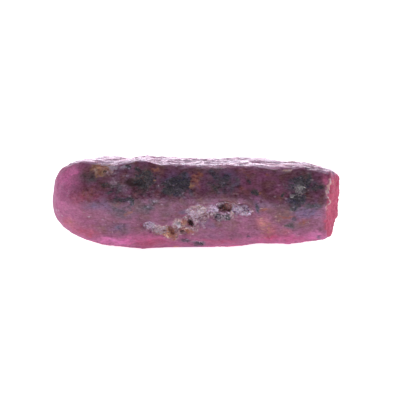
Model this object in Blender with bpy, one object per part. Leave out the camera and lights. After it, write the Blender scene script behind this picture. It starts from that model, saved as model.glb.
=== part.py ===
"""A rough pink sapphire crystal: a worn six-sided prism of corundum that lies on one of its long faces.

The long axis of the crystal runs along X. The left end (-X) is a rounded, worn tip, and the right end (+X) is
a flat parting face with broken corners. The top, upper front and lower front faces meet in long edges, and a
broken hollow with open pits runs up across the lower front face. The crystal is one solid. Its origin is on
the resting plane, below the middle of its box.
"""

import math

import bmesh
import bpy
from mathutils import Matrix, Vector, noise

MM = 0.001

# ---- Driving dimensions, in millimetres --------------------------------------------------------------------
# All places are those while the crystal is shaped, with its long axis on X. It is moved onto its resting plane
# at the end.
RESTING_REACH = 5.0  # from the long axis down to the resting face
RING_STEP = 0.7  # spacing of the rings of the net along the crystal

# Each long face: the way it looks, as an angle about the long axis (0 is the front, 90 straight up), how many
# columns of the net it gets, and its profile: (place along X, distance from the long axis).
LONG_FACES = {
    "top": (90, 10, [(-16.0, 1.3), (-15.7, 2.2), (-15.2, 3.4), (-14.4, 4.3), (-12.6, 4.95), (-10.4, 5.0),
                     (-5.0, 4.95), (0.0, 4.8), (6.8, 4.7), (12.4, 4.15), (15.6, 3.42), (17.2, 2.9)]),
    "upper_front": (30, 8, [(-16.0, 1.2), (-15.6, 2.6), (-14.8, 3.8), (-13.2, 4.6), (-9.0, 5.15),
                            (-4.0, 5.3), (4.0, 5.3), (11.0, 4.9), (17.2, 4.65)]),
    "lower_front": (-30, 12, [(-16.0, 1.1), (-15.6, 2.1), (-14.8, 3.0), (-12.6, 3.9), (-8.0, 4.4),
                              (-4.0, 4.3), (4.0, 4.3), (8.0, 4.5), (12.0, 4.6), (17.2, 4.4)]),
    "bottom": (-90, 9, [(-16.0, 0.7), (-15.7, 1.4), (-15.0, 2.4), (-13.2, 3.7), (-10.8, 4.48), (-9.0, 4.72),
                        (-6.8, RESTING_REACH), (2.2, RESTING_REACH), (5.6, 4.85), (7.2, 4.48), (10.8, 4.44),
                        (14.2, 4.09), (17.2, 3.64)]),
    "lower_back": (-150, 8, [(-16.0, 1.1), (-15.6, 2.2), (-14.6, 3.4), (-12.4, 4.5), (-8.0, 5.2),
                             (5.0, 5.2), (17.2, 4.6)]),
    "upper_back": (-210, 11, [(-16.0, 1.1), (-15.6, 1.8), (-14.6, 2.5), (-12.0, 3.4), (-8.5, 4.3),
                              (6.0, 4.4), (10.5, 3.9), (17.2, 2.4)]),
}

# Flat breaks across the right end, each a point on it and the way it looks: the parting face itself, which
# leans so that its top stands further out than its foot, and the corners that have broken off it.
END_BREAKS = {
    "parting_face": ((16.05, -2.0, 3.1), (1.0, -0.136, -0.12)),
    "foot_corner": ((16.2, 0.0, -1.9), (0.85, -0.02, -0.42)),
    "top_corner": ((15.3, 0.0, 3.65), (0.60, 0.1, 0.80)),
}
BREAK_RINGS = (0.78, 0.54, 0.3)  # the net on a break: its outline, shrunk to these shares
SNAP_GAP = 0.03  # corners nearer to a break than this count as lying on it
SEAM_GAP = 0.01  # corners nearer to each other than this are joined along the net's seam

# The worn edges and the worn tip
EDGE_ANGLE = math.radians(20)  # a bend sharper than this is an edge, which wears
EDGE_WEAR = 2  # how often the edges are smoothed
TIP_WEAR = 3  # how often the tip is smoothed
TIP_START = -11.5  # the worn tip is all that lies left of here

# The broken hollow is a string of overlapping scoops, from its low left end to its high right end:
# (place of the scoop's middle, half length along X, half width).
HOLLOW = (
    ((-4.7, -3.9, -1.9), 1.00, 0.70),
    ((-3.5, -3.7, -2.4), 1.30, 1.00),
    ((-2.0, -3.8, -2.2), 1.40, 1.15),
    ((-0.8, -4.2, -1.4), 1.50, 1.15),
    ((0.5, -4.6, -0.7), 1.40, 1.05),
    ((1.8, -4.8, -0.3), 1.30, 0.95),
    ((3.2, -4.8, -0.4), 1.40, 1.15),
    ((4.6, -5.0, 0.0), 1.20, 0.90),
    ((6.0, -5.1, 0.2), 0.90, 0.65),
)
HOLLOW_DEPTH = 0.42  # from the face down to the middle one of the steps of the hollow's floor
WALL_STEEPNESS = 3.0  # how soon the hollow's wall reaches its full depth: the larger, the steeper
LEDGE_HEIGHT = 0.08  # from one step of the floor to the next
LEDGE_SIZE = 1.3  # how far apart the high and the low steps lie
LEDGE_COUNT = 4  # steps above the middle one, and as many below it

# Open pits and chipped edges: (place of the middle, half length along X, half width, depth).
PITS = {
    "dark_pit": ((3.9, -5.0, 0.1), 0.95, 0.75, 0.95),
    "small_dark_pit": ((-0.1, -4.1, -1.5), 0.50, 0.45, 0.60),
    "rust_pit_left": ((-2.7, -3.3, -2.8), 0.90, 0.75, 0.45),
    "rust_pit_right": ((-0.8, -3.2, -3.0), 0.65, 0.60, 0.45),
    "golden_pit": ((-10.1, -3.4, 4.2), 0.95, 0.65, 0.40),
    "smoky_pit": ((-5.5, -4.2, 3.0), 0.90, 0.80, 0.35),
    "pale_pit": ((11.8, -4.4, 2.1), 0.85, 0.70, 0.30),
    "edge_chip_end": ((15.3, -4.2, 2.3), 0.60, 1.20, 0.22),
    "edge_chip_foot": ((0.4, -2.5, -4.4), 1.60, 0.65, 0.26),
    "back_pit": ((6.4, 4.7, -0.9), 0.90, 0.75, 0.70),
    "top_pit_left": ((-6.8, 0.6, 5.0), 0.90, 0.70, 0.25),
    "top_pit_right": ((7.6, -0.8, 4.6), 1.20, 0.70, 0.25),
}
# Wide shallow scoops, which the plain net can hold
SCOOPS = {
    "edge_dip_middle": ((2.6, -3.3, 4.8), 6.50, 0.90, 0.28),
    "edge_dip_right": ((10.7, -3.2, 4.4), 1.50, 0.80, 0.28),
    "back_scar": ((-3.0, 5.3, 0.5), 2.60, 1.30, 0.55),
    "back_scar_end": ((-0.6, 5.0, 1.5), 1.50, 1.10, 0.50),
    "back_edge_dip": ((4.0, 2.3, 4.7), 2.80, 1.00, 0.35),
    "back_chip_left": ((-9.3, 4.6, -2.3), 1.60, 1.00, 0.40),
    "back_chip_right": ((11.5, 4.4, -1.7), 1.80, 1.10, 0.30),
}
RIM_WAVER = 0.18  # how far the rim of a pit wavers, as a share of its size
WAVER_SIZE = 0.6  # the length of those waves

RELIEF = ((2.6, 0.10), (1.1, 0.05), (0.5, 0.02))  # worn relief all over: (size of the swells, their height)

# The net is made finer in and just round the hollow and the pits.
FINE_EDGE = 0.42  # an edge longer than this is halved there
FINE_MARGIN = 1.4  # how far the fine net goes past the rim, as a share of the pit's size
RESTING_GAP = 0.02  # what lies lower than this is the resting face, which stays flat

# The colour and finish of the stone
STONE_COLOUR = (0.30, 0.09, 0.19, 1.0)
STONE_ROUGHNESS = 0.38
CORUNDUM_IOR = 1.76
SMOOTH_ANGLE = math.radians(24)  # facets that meet at less than this are shaded as one surface


# ---- The long faces ----------------------------------------------------------------------------------------


def reach_at(profile, x):
    """The distance of a long face from the axis at x, read along its profile."""
    for (start, reach), (end, next_reach) in zip(profile, profile[1:]):
        if x <= end:
            return reach + (next_reach - reach) * (x - start) / (end - start)
    return profile[-1][1]


def corner(face_a, face_b, x):
    """Where two neighbouring long faces meet at x."""
    turn_a, _, profile_a = face_a
    turn_b, _, profile_b = face_b
    reach_a, reach_b = reach_at(profile_a, x), reach_at(profile_b, x)
    a, b = math.radians(turn_a), math.radians(turn_b)
    out = (reach_a * math.sin(b) - reach_b * math.sin(a)) / math.sin(b - a)
    up = (reach_b * math.cos(a) - reach_a * math.cos(b)) / math.sin(b - a)
    return Vector((x, -out, up))


def ring_points(x):
    """The points of the ring at x: each long face's stretch of it is cut evenly into its columns."""
    faces = list(LONG_FACES.values())
    points = []
    for i, face in enumerate(faces):
        start = corner(faces[i - 1], face, x)
        end = corner(face, faces[(i + 1) % len(faces)], x)
        columns = face[1]
        points += [start.lerp(end, k / columns) for k in range(columns)]
    return points + points[:1]


def ring_places():
    """Where the rings stand: at the bends of the profiles, and evenly between."""
    bends = sorted({x for _, _, profile in LONG_FACES.values() for x, _ in profile})
    places = [bends[0]]
    for bend in bends[1:]:
        start = places[-1]
        gap = bend - start
        if gap < RING_STEP / 4:
            continue
        pieces = max(1, round(gap / RING_STEP))
        places += [start + gap * k / pieces for k in range(1, pieces + 1)]
    return places


def wrapped_net(bm):
    """A flat grid wrapped round the axis: its rows become the rings, and its two long sides meet in a seam."""
    rings = [ring_points(x) for x in ring_places()]
    rows, columns = len(rings) - 1, len(rings[0]) - 1
    grid = bmesh.ops.create_grid(bm, x_segments=rows, y_segments=columns, size=1.0)
    for vert in grid["verts"]:
        row = round((vert.co.x + 1) / 2 * rows)
        column = round((vert.co.y + 1) / 2 * columns)
        vert.co = rings[row][column]
    bmesh.ops.remove_doubles(bm, verts=bm.verts, dist=SEAM_GAP)


# ---- The two ends ------------------------------------------------------------------------------------------


def open_rim(bm):
    return [edge for edge in bm.edges if edge.is_boundary]


def close_hole(bm, rim, rings=()):
    """Fills an open rim with one face, then shrinks copies of its outline towards the middle."""
    face = bmesh.ops.contextual_create(bm, geom=rim)["faces"][0]
    middle = face.calc_center_median()
    share = 1.0
    for ring in rings:
        bmesh.ops.inset_individual(bm, faces=[face], thickness=0.0)
        size = ring / share
        bmesh.ops.scale(bm, verts=face.verts, vec=(size, size, size), space=Matrix.Translation(-middle))
        share = ring
    bmesh.ops.poke(bm, faces=[face])


def close_tip(bm):
    close_hole(bm, [edge for edge in open_rim(bm) if edge.verts[0].co.x < 0])


def break_off(bm, point, normal):
    """Breaks the crystal off along a plane and closes the break."""
    geom = bm.verts[:] + bm.edges[:] + bm.faces[:]
    bmesh.ops.bisect_plane(bm, geom=geom, dist=SNAP_GAP, plane_co=point, plane_no=normal, clear_outer=True)
    close_hole(bm, open_rim(bm), BREAK_RINGS)


# ---- Wear, pits and relief ---------------------------------------------------------------------------------


def smooth(bm, verts, times):
    for _ in range(times):
        bmesh.ops.smooth_vert(bm, verts=verts, factor=0.5, use_axis_x=True, use_axis_y=True, use_axis_z=True)


def wear(bm):
    """Rounds the edges a little and the tip more."""
    edges = [edge for edge in bm.edges if edge.calc_face_angle(0.0) > EDGE_ANGLE]
    smooth(bm, list({vert for edge in edges for vert in edge.verts}), EDGE_WEAR)
    smooth(bm, [vert for vert in bm.verts if vert.co.x < TIP_START], TIP_WEAR)


def bowl(place, middle, half_length, half_width):
    """How deep a place lies in a bowl: 1 in its middle, and 0 at its wavering rim and outside."""
    gap = place - Vector(middle)
    along = gap.x / half_length
    across = math.hypot(gap.y, gap.z) / half_width
    out = math.hypot(along, across) + RIM_WAVER * noise.noise(place / WAVER_SIZE)
    return 1.0 - max(0.0, min(1.0, out)) ** 2


def in_hollow(place):
    """How far in a place lies inside the broken hollow, from 0 to 1."""
    return max(bowl(place, middle, length, width) for middle, length, width in HOLLOW)


def hollow_depth(place):
    """The broken floor: a shallow pan whose floor steps up and down in ledges."""
    ledge = round(LEDGE_COUNT * noise.noise(place / LEDGE_SIZE))
    return min(1.0, WALL_STEEPNESS * in_hollow(place)) * (HOLLOW_DEPTH + LEDGE_HEIGHT * ledge)


def pits_depth(place):
    """The depth of all pits and scoops together at a place."""
    bowls = [*PITS.values(), *SCOOPS.values()]
    return sum(depth * bowl(place, middle, length, width) for middle, length, width, depth in bowls)


def relief_depth(place):
    return sum(height * noise.noise(place / size) for size, height in RELIEF)


def needs_fine_net(place):
    """Whether a place lies in the hollow or in a pit, or just outside its rim."""
    bowls = [*HOLLOW, *(pit[:3] for pit in PITS.values())]
    return any(
        bowl(place, middle, length * FINE_MARGIN, width * FINE_MARGIN) > 0 for middle, length, width in bowls
    )


def refine_net(bm):
    """Halves the net's long edges wherever a fine net is needed."""
    fine = [
        edge
        for edge in bm.edges
        if edge.calc_length() > FINE_EDGE and needs_fine_net((edge.verts[0].co + edge.verts[1].co) / 2)
    ]
    bmesh.ops.subdivide_edges(bm, edges=fine, cuts=1, use_grid_fill=True)
    bmesh.ops.triangulate(bm, faces=bm.faces, quad_method="BEAUTY", ngon_method="BEAUTY")


def carve(bm):
    """Sinks the hollow, the pits and the relief into the faces. The resting face stays flat."""
    bm.normal_update()
    sunk = {}
    for vert in bm.verts:
        if vert.co.z > RESTING_GAP - RESTING_REACH:
            depth = hollow_depth(vert.co) + pits_depth(vert.co) + relief_depth(vert.co)
            sunk[vert] = vert.co - vert.normal * depth
    for vert, place in sunk.items():
        vert.co = (place.x, place.y, max(-RESTING_REACH, place.z))


# ---- The crystal -------------------------------------------------------------------------------------------


def stand_on_origin(bm):
    """Moves the crystal so that the origin lies on its resting plane, below the middle of its box."""
    middles = []
    for axis in (0, 1):
        places = [vert.co[axis] for vert in bm.verts]
        middles.append((min(places) + max(places)) / 2)
    bmesh.ops.translate(bm, verts=bm.verts, vec=(-middles[0], -middles[1], RESTING_REACH))


def crystal_mesh():
    bm = bmesh.new()
    wrapped_net(bm)
    close_tip(bm)
    for point, normal in END_BREAKS.values():
        break_off(bm, point, normal)
    bmesh.ops.recalc_face_normals(bm, faces=bm.faces)
    wear(bm)
    bmesh.ops.triangulate(bm, faces=bm.faces, quad_method="BEAUTY", ngon_method="BEAUTY")
    refine_net(bm)
    carve(bm)
    stand_on_origin(bm)
    bmesh.ops.scale(bm, verts=bm.verts, vec=(MM, MM, MM))
    mesh = bpy.data.meshes.new("pink_sapphire_crystal")
    bm.to_mesh(mesh)
    bm.free()
    mesh.shade_smooth()
    mesh.set_sharp_from_angle(angle=SMOOTH_ANGLE)
    return mesh


def stone_material():
    material = bpy.data.materials.new("pink_sapphire")
    material.use_nodes = True
    shader = material.node_tree.nodes["Principled BSDF"]
    shader.inputs["Base Color"].default_value = STONE_COLOUR
    shader.inputs["Roughness"].default_value = STONE_ROUGHNESS
    shader.inputs["Metallic"].default_value = 0.0
    shader.inputs["IOR"].default_value = CORUNDUM_IOR
    return material


def main():
    for obj in list(bpy.data.objects):
        bpy.data.objects.remove(obj)
    mesh = crystal_mesh()
    mesh.materials.append(stone_material())
    crystal = bpy.data.objects.new("pink_sapphire_crystal", mesh)
    bpy.context.scene.collection.objects.link(crystal)


main()
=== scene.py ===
# %% [markdown]
# # A rough pink sapphire crystal
# Pink sapphire is corundum, which grows as a six-sided prism. This one is a stick 32 mm long that lies on
# one of its long faces. Its left tip is worn round, and its right end is a flat parting face. Mica and rust
# have grown into it, a broken hollow runs up across its lower front face, and light comes through its thin
# edges.
#
# The solid model already has the right size and the main faces. This script gives the crystal its fine
# surface, its colours, its mica and its loose grains, and then lights it. First come the modules and the
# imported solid.

# %% Load the solid crystal
import math

import bmesh
import bpy
import numpy as np
from mathutils import Matrix, Vector, noise


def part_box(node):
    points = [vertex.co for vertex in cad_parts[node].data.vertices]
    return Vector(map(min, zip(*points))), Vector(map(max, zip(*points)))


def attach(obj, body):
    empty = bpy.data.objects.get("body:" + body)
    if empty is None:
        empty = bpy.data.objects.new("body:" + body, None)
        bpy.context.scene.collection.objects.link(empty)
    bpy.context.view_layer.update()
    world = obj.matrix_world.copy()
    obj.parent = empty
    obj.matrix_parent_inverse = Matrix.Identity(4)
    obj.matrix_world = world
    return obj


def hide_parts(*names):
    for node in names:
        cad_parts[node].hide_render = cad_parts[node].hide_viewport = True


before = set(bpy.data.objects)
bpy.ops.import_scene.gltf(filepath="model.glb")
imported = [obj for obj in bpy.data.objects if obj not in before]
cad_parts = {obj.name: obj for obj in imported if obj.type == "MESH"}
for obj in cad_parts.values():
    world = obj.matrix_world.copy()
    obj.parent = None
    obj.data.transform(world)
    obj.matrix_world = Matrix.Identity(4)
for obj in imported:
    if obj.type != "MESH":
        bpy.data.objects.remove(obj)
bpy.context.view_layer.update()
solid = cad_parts["pink_sapphire_crystal"]
MM = 0.001
low, high = (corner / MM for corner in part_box("pink_sapphire_crystal"))
print("the solid crystal, in mm:", [round(side, 1) for side in high - low])

# %% [markdown]
# ## The camera
# The crystal is small, so it is seen as a catalogue shows a small thing: from a little above, through a
# long lens, and filling most of the frame. A lens is easiest to set from what should fit in the frame at
# the crystal's distance: the focal length is the sensor's width times the distance, divided by the width of
# the frame there.

# %% Place the camera
TURN = math.radians(6)  # the camera stands this much to the right of the crystal's front
RISE = math.radians(9.2)  # and this much above it
ROLL = math.radians(-1.5)
DISTANCE = 187 * MM
FRAME_WIDTH = 45 * MM  # at the crystal
TARGET = Vector((0.48, 0.0, 5.2)) * MM
SENSOR = 36.0


def add_object(name, data):
    """Put a mesh, a camera or a light into the scene."""
    made = bpy.data.objects.new(name, data)
    bpy.context.scene.collection.objects.link(made)
    return made


away = Vector((math.sin(TURN) * math.cos(RISE), -math.cos(TURN) * math.cos(RISE), math.sin(RISE)))
lens = bpy.data.cameras.new("camera")
lens.sensor_width = SENSOR
lens.lens = SENSOR * DISTANCE / FRAME_WIDTH
lens.clip_start = 1 * MM
camera = add_object("camera", lens)
turn = (-away).to_track_quat("-Z", "Y").to_matrix() @ Matrix.Rotation(ROLL, 3, "Z")
camera.matrix_world = Matrix.Translation(TARGET + away * DISTANCE) @ turn.to_4x4()
bpy.context.scene.camera = camera
print("focal length, in mm:", round(lens.lens, 1))

# %% [markdown]
# ## An even net
# The solid has flat triangles about half a millimetre wide. The real surface is finer: worn edges, wavy
# growth lines and small broken facets. A voxel remesh turns the solid into an even net that is fine enough
# to carry them. It works in millimetres, because a modifier's smallest voxel is made for larger things, and
# a few rounds of smoothing melt the flat triangles together.

# %% Make the net
VOXEL = 0.121  # mm
MERGE = 1e-7  # metres: the solid's triangles are loose
MELT_ROUNDS = 3
WORN_TIP = -10.5  # mm: the crystal is worn round to the left of this
WORN_RIDGE = (4.0, 1.5)  # mm: the ridges stand this far to the front and back, and are worn over this height
RIDGE_ALONG = (4.0, 9.0, 12.0, 16.0)  # mm: places along the crystal
RIDGE_UP = (5.9, 5.5, 5.2, 4.9)  # mm: the front ridge's height there
WEAR_ROUNDS = 90
BROKEN_RIDGE = (-3.0, 7.0)  # mm: the front ridge is broken away between these places,
BROKEN_UNDER = 5.4  # below this height


def copy_of_solid():
    """The solid's mesh in millimetres, with its loose triangles joined."""
    bm = bmesh.new()
    bm.from_mesh(solid.data)
    bmesh.ops.remove_doubles(bm, verts=bm.verts, dist=MERGE)
    bmesh.ops.scale(bm, verts=bm.verts, vec=(1 / MM,) * 3)
    mesh = bpy.data.meshes.new("crystal")
    bm.to_mesh(mesh)
    bm.free()
    return mesh


def even_net(mesh):
    """The same shape as an even net of small squares."""
    helper = add_object("helper", mesh)
    remesh = helper.modifiers.new("remesh", "REMESH")
    remesh.mode = "VOXEL"
    remesh.voxel_size = VOXEL
    seen = helper.evaluated_get(bpy.context.evaluated_depsgraph_get())
    net = bmesh.new()
    net.from_mesh(seen.to_mesh())
    seen.to_mesh_clear()
    bpy.data.objects.remove(helper)
    return net


def melt(net, verts, rounds):
    """Smooth some points of the net, so that the solid's flat triangles and sharp edges run together."""
    for _ in range(rounds):
        bmesh.ops.smooth_vert(net, verts=verts, factor=0.5, use_axis_x=True, use_axis_y=True, use_axis_z=True)
    net.normal_update()


def is_worn(place):
    """Worn points: the left tip, and both long ridges away from the broken hollow in the front one."""
    out, reach = WORN_RIDGE
    ridge = np.interp(place.x, RIDGE_ALONG, RIDGE_UP) if place.y < 0 else RIDGE_UP[0]
    on_ridge = abs(place.y) > out and abs(place.z - ridge) < reach
    broken = place.y < 0 and BROKEN_RIDGE[0] < place.x < BROKEN_RIDGE[1] and place.z < BROKEN_UNDER
    return place.x < WORN_TIP or on_ridge and not broken


net = even_net(copy_of_solid())
melt(net, net.verts, MELT_ROUNDS)
worn = [vert for vert in net.verts if is_worn(vert.co)]
melt(net, worn, WEAR_ROUNDS)
print("the net has", len(net.faces), "squares")

# %% [markdown]
# ## Where things are on the crystal
# Everything that comes next, the relief as well as the colours, needs to know where a point of the net is
# and which way it faces. Both are kept as arrays, so that one line of arithmetic works on the whole net.
# Masks are arrays as well: a number from 0 to 1 for each point. Blender's noise vectors start from a seed
# that is taken from the clock, so a seed is set here, and the crystal comes out the same on every run.

# %% Arrays and masks
NOISE_SEED = 3
noise.seed_set(NOISE_SEED)
places = np.array([vert.co for vert in net.verts])
facing = np.array([vert.normal for vert in net.verts])


def ease(values, start, end):
    """0 up to start and 1 from end on, with a soft step between them. End may be the smaller one."""
    t = np.clip((values - start) / (end - start), 0.0, 1.0)
    return t * t * (3 - 2 * t)


def wave(size, shift=0.0):
    """Soft noise from -1 to 1 for each point. size is its grain in mm, one number or one for each axis."""
    return np.array([noise.noise(point) for point in places / size + shift])


def wander(size, reach):
    """A small vector for each point, that pulls the edges of a patch out of their round shape."""
    return np.array([noise.noise_vector(point) for point in places / size]) * reach


# How much a point must face one way to lie on that side: a mask is 0 at the first number, 1 at the second.
top_face = ease(facing[:, 2], 0.78, 0.93)
under_face = ease(-facing[:, 2], 0.75, 0.93)
parting_face = ease(facing[:, 0], 0.6, 0.85)
front = ease(-facing[:, 1], 0.1, 0.4)
back = ease(facing[:, 1], 0.1, 0.4)
ragged_places = places + wander(0.9, 0.35) + wander(0.35, 0.14)  # pulled about in two sizes, in mm
ridge_up = np.where(places[:, 1] < 0, np.interp(places[:, 0], RIDGE_ALONG, RIDGE_UP), RIDGE_UP[0])
above_ridge = ragged_places[:, 2] - ridge_up
worn_ridge = ease(np.abs(places[:, 1]), 4.3, 4.9) * ease(np.abs(places[:, 2] - ridge_up), 1.3, 0.5)
print("points on the top face:", int(top_face.sum()), "and on the front:", int(front.sum()))

# %% [markdown]
# ## Patches
# A stain, a pit or a nest of mica is a patch: a middle, a half length along the crystal, a half height and
# a strength. On the front its middle is given by two numbers, the place along the crystal and the height
# above the floor, and the patch settles on the point of the net that lies there. Its distance is measured
# through space from the points that wander, so it never comes out as a clean ellipse, and it can't colour
# the other side.

# %% Settle a patch on the net
PATCH_EDGE = (1.6, 0.25)  # a patch fades between these distances, in half lengths
TURNED_AWAY = 0.15  # a point that faces the front less than this can't be seen from there


def settle(along, up):
    """The point of the net that is seen at this place from the front."""
    gap = (places[:, 0] - along) ** 2 + (places[:, 2] - up) ** 2
    gap[-facing[:, 1] < TURNED_AWAY] = np.inf
    return places[int(np.argmin(gap))]


def patch(middle, half_length, half_height, edge=PATCH_EDGE):
    """1 in the middle of a patch and 0 past its edge."""
    step = ragged_places - middle
    distance = np.sqrt((step[:, 0] / half_length) ** 2 + (step[:, 1] ** 2 + step[:, 2] ** 2) / half_height**2)
    return ease(distance, *edge)


# %% [markdown]
# ## The broken hollow
# A strip of the lower front face has broken away in steps, from a foot at the left up to the ridge. The
# solid has its scoops. Here the same strip gets a mask of its own, because it is rougher, paler and full of
# grains.

# %% The strip's mask
HOLLOW = (  # place along the crystal, height, half length, half height
    (-5.1, 3, 0.8, 0.4), (-4, 2.6, 0.7, 0.5), (-2.6, 2.4, 1, 0.8), (-1.3, 2.8, 1, 1.1), (-0.2, 3.5, 1, 1.3),
    (0.6, 4.3, 1.1, 1.3), (2.2, 4.5, 1.1, 0.8), (3.5, 4.7, 1.2, 1), (4.8, 4.8, 1, 0.8), (6, 4.8, 0.8, 0.6),
)
hollow = np.zeros(len(places))
for along, up, half_length, half_height in HOLLOW:
    hollow = np.maximum(hollow, patch(settle(along, up), half_length, half_height, edge=(1.5, 0.65)))
print("points in the hollow:", int(hollow.sum()))

# %% [markdown]
# ## Relief
# The surface of the real crystal is worn, but not polished. It has soft swells, thin growth ridges that run
# along the top, low flat facets where the skin chipped, and steps where it parted. They could be a bump in
# the material, but then they would be missing from the mesh and from the outline, so here they move the
# net's points. A facet is a cell of a Voronoi pattern: each cell leans its own way and stands at its own
# height.

# %% Swells, growth ridges and facets
SWELLS = ((1.7, 0.045), (0.6, 0.022))  # grain and height, in mm
CRESTS = ((0.07, (2.2, 1.1, 0.9), 0.0), (0.022, (0.9, 0.45, 0.4), 7.0))  # height and grain in mm, shift
RIDGE_WEAR = 0.05  # mm


def facets(size, lean, step, shift=0.0):
    """The height of a surface that is broken into flat facets."""
    heights = []
    for point in places / size + shift:
        point = Vector(point)
        near = noise.voronoi(point)[1][0]
        tilt = noise.noise_vector(near * 1.7)
        heights.append((point - near).dot(tilt) * lean + noise.noise(near * 2.3) * step)
    return np.array(heights)


def ridges(size, shift):
    """Sharp crests with round valleys between them, from -1 to 1."""
    return 1 - 4 * np.abs(wave(size, shift))


height = sum(rise * wave(grain) for grain, rise in SWELLS)
height -= RIDGE_WEAR * worn_ridge
for crest, grain, shift in CRESTS:
    height += crest * top_face * ridges(np.array(grain), shift)
height += (1 - hollow) * facets(0.85, lean=0.10, step=0.03)
print("relief on the sound faces, in mm:", round(height.min(), 2), "to", round(height.max(), 2))

# %% Steps and splinters in the hollow
coarse = facets(0.62, lean=0.28, step=0.14, shift=11.0)
fine = facets(0.3, lean=0.22, step=0.1, shift=23.0)
height += hollow * (coarse + fine)
print("relief in the hollow, in mm:", round((coarse + fine).min(), 2), "to", round((coarse + fine).max(), 2))

# %% Terraces on the parting face
TERRACE = 0.07  # mm, the height of a step
TERRACES = 2.4  # how many steps a swell is cut into

levels = TERRACES * wave(2.2, shift=5.0)
height += parting_face * TERRACE * (np.floor(levels) + ease(levels % 1.0, 0.75, 1.0))
height += parting_face * facets(0.36, lean=0.2, step=0.03, shift=31.0)
print("terraces on the parting face:", len(np.unique(np.floor(levels[parting_face > 0.5]))))

# %% [markdown]
# ## The worn rims
# The solid's rims run straight, and the real ones don't. The front rim of the top face is worn down, its
# back rim rises and falls, and the foot along the floor is rounded off. Each rim is a row of places along
# the crystal with how far the rim goes up or down there, and a mask says how much of that a point of the
# net takes. The front rim has a lip as well: a narrow band at its edge that stays up where the rest is worn
# down. The rim of the parting face is cut back in the same way, by rows of heights.

# %% Wear the rims
FRONT_RIM = (
    (-14, 0.1), (-12.5, 0.25), (-11, 0), (-9.9, -0.3), (-8.7, -0.3), (-7.2, 0), (-6.2, 0.28), (-5, 0.2),
    (-3.8, -0.05), (-1.2, -0.28), (2, -0.34), (4.2, -0.34), (6, -0.2), (9.5, -0.25), (11.5, 0), (14, 0.1),
)
FRONT_LIP = ((-3.5, 0), (-1.5, 0.2), (0.5, 0.32), (4.5, 0.34), (6, 0.1), (7.5, 0))
BACK_RIM = (
    (-16, 0.2), (-14.6, 0.05), (-12.8, 0.42), (-11, 0.26), (-8.6, 0.08), (-7.4, -0.2), (-6.4, 0.05),
    (-5.6, 0.3), (-4.7, 0.02), (-2, -0.1), (-0.2, -0.18), (1.6, -0.05), (3.4, 0.14), (5, 0.12), (7, 0),
    (9.7, -0.08), (11, 0),
)
FOOT = (
    (-9.5, 0), (-7.8, 0.12), (-6.9, 0.1), (-6, 0), (-4.1, 0.05), (-3.2, 0.12), (0.4, 0.17), (3.1, 0.1),
    (4.9, 0.15), (5.8, 0.05), (7, 0), (14.3, 0), (15.3, 0.3),
)
END = (
    (0, 0.05), (1.5, 0), (2.4, 0.12), (3.2, 0.05), (3.9, 0.12), (4.6, 0.08), (5.5, -0.12), (7, 0),
    (7.8, 0.13), (9, 0.12),
)
RIM_REACH = 4.0  # mm that a top rim's rise and fall reaches down
FOOT_REACH = (1.0, 0.3)  # mm above the lowest point: none of it at the first, all of it at the second
END_REACH = (14.5, 15.8)  # mm along the crystal
SLICES = 66  # the crystal's height is measured in this many slices
SHOULDER = (-15.4, 8.4)  # place along the crystal and height: the worn tip is fuller here
SHOULDER_SWELL = 0.13  # mm


def from_rows(rows, at):
    """A number for each point, read off rows of places and numbers."""
    return np.interp(at, [row[0] for row in rows], [row[1] for row in rows])


slice_ends = np.linspace(places[:, 0].min(), places[:, 0].max(), SLICES + 1)
in_slice = np.clip(np.searchsorted(slice_ends, places[:, 0]) - 1, 0, SLICES - 1)
slice_middles = (slice_ends[1:] + slice_ends[:-1]) / 2
highest = np.array([places[in_slice == number, 2].max() for number in range(SLICES)])
lowest = np.array([places[in_slice == number, 2].min() for number in range(SLICES)])
near_top = np.clip(1 - (np.interp(places[:, 0], slice_middles, highest) - places[:, 2]) / RIM_REACH, 0.0, 1.0)
near_foot = ease(places[:, 2] - np.interp(places[:, 0], slice_middles, lowest), *FOOT_REACH)
rims = (  # rows, how much of it by height, and where it starts and is full from front to back, in mm
    (FRONT_RIM, near_top, 1.6, -2.9), (FRONT_LIP, near_top, -2.2, -2.9), (BACK_RIM, near_top, 0.0, 1.8),
    (FOOT, near_foot, -1.0, -1.8),
)
rise = np.zeros(len(places))
for rows, share, starts, full in rims:
    rise += from_rows(rows, places[:, 0]) * share * ease(places[:, 1], starts, full)
cut_back = from_rows(END, places[:, 2]) * ease(places[:, 0], *END_REACH)
height += SHOULDER_SWELL * patch(settle(*SHOULDER), 1.3, 1.3)
print("the rims move, in mm:", round(rise.min(), 2), "to", round(rise.max(), 2))

# %% [markdown]
# ## Pits
# Small grains have fallen out of the crystal and left pits. The deep ones are in the solid already, and
# here they get deeper than a coarse solid can show. A pit pushes its points straight in, along the
# direction that the surface faces at its middle, so that its walls can't fold over each other.

# %% Push the pits in
PITS = (  # place along the crystal, height, radius, depth
    (3.4, 5, 0.5, 0.32), (4.1, 4.9, 0.45, 0.25), (-0.35, 3.4, 0.36, 0.45), (-1.2, 2.1, 0.22, 0.2),
    (-6.3, 7.8, 0.6, 0.15), (-10.2, 9.2, 0.5, 0.12), (-4.4, 5.4, 0.17, 0.12), (3.1, 9.3, 0.26, 0.12),
    (10.9, 3.1, 0.4, 0.08), (-8.8, 7.8, 0.14, 0.1),
)
SMALL_PITS = 90
rng = np.random.default_rng(7)
push = np.zeros_like(places)


def dent(middle, radius, depth):
    """Push one round pit in."""
    inside = patch(middle, radius, radius, edge=(1.25, 0.35))
    nearest = int(np.argmin(((places - middle) ** 2).sum(axis=1)))
    push[:] -= facing[nearest] * (depth * inside)[:, None]


for along, up, radius, depth in PITS:
    dent(settle(along, up), radius, depth)
for index in rng.choice(len(places), SMALL_PITS, replace=False):
    dent(places[index], rng.uniform(0.12, 0.3), rng.uniform(0.04, 0.1))
print("pits:", len(PITS) + SMALL_PITS)

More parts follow.
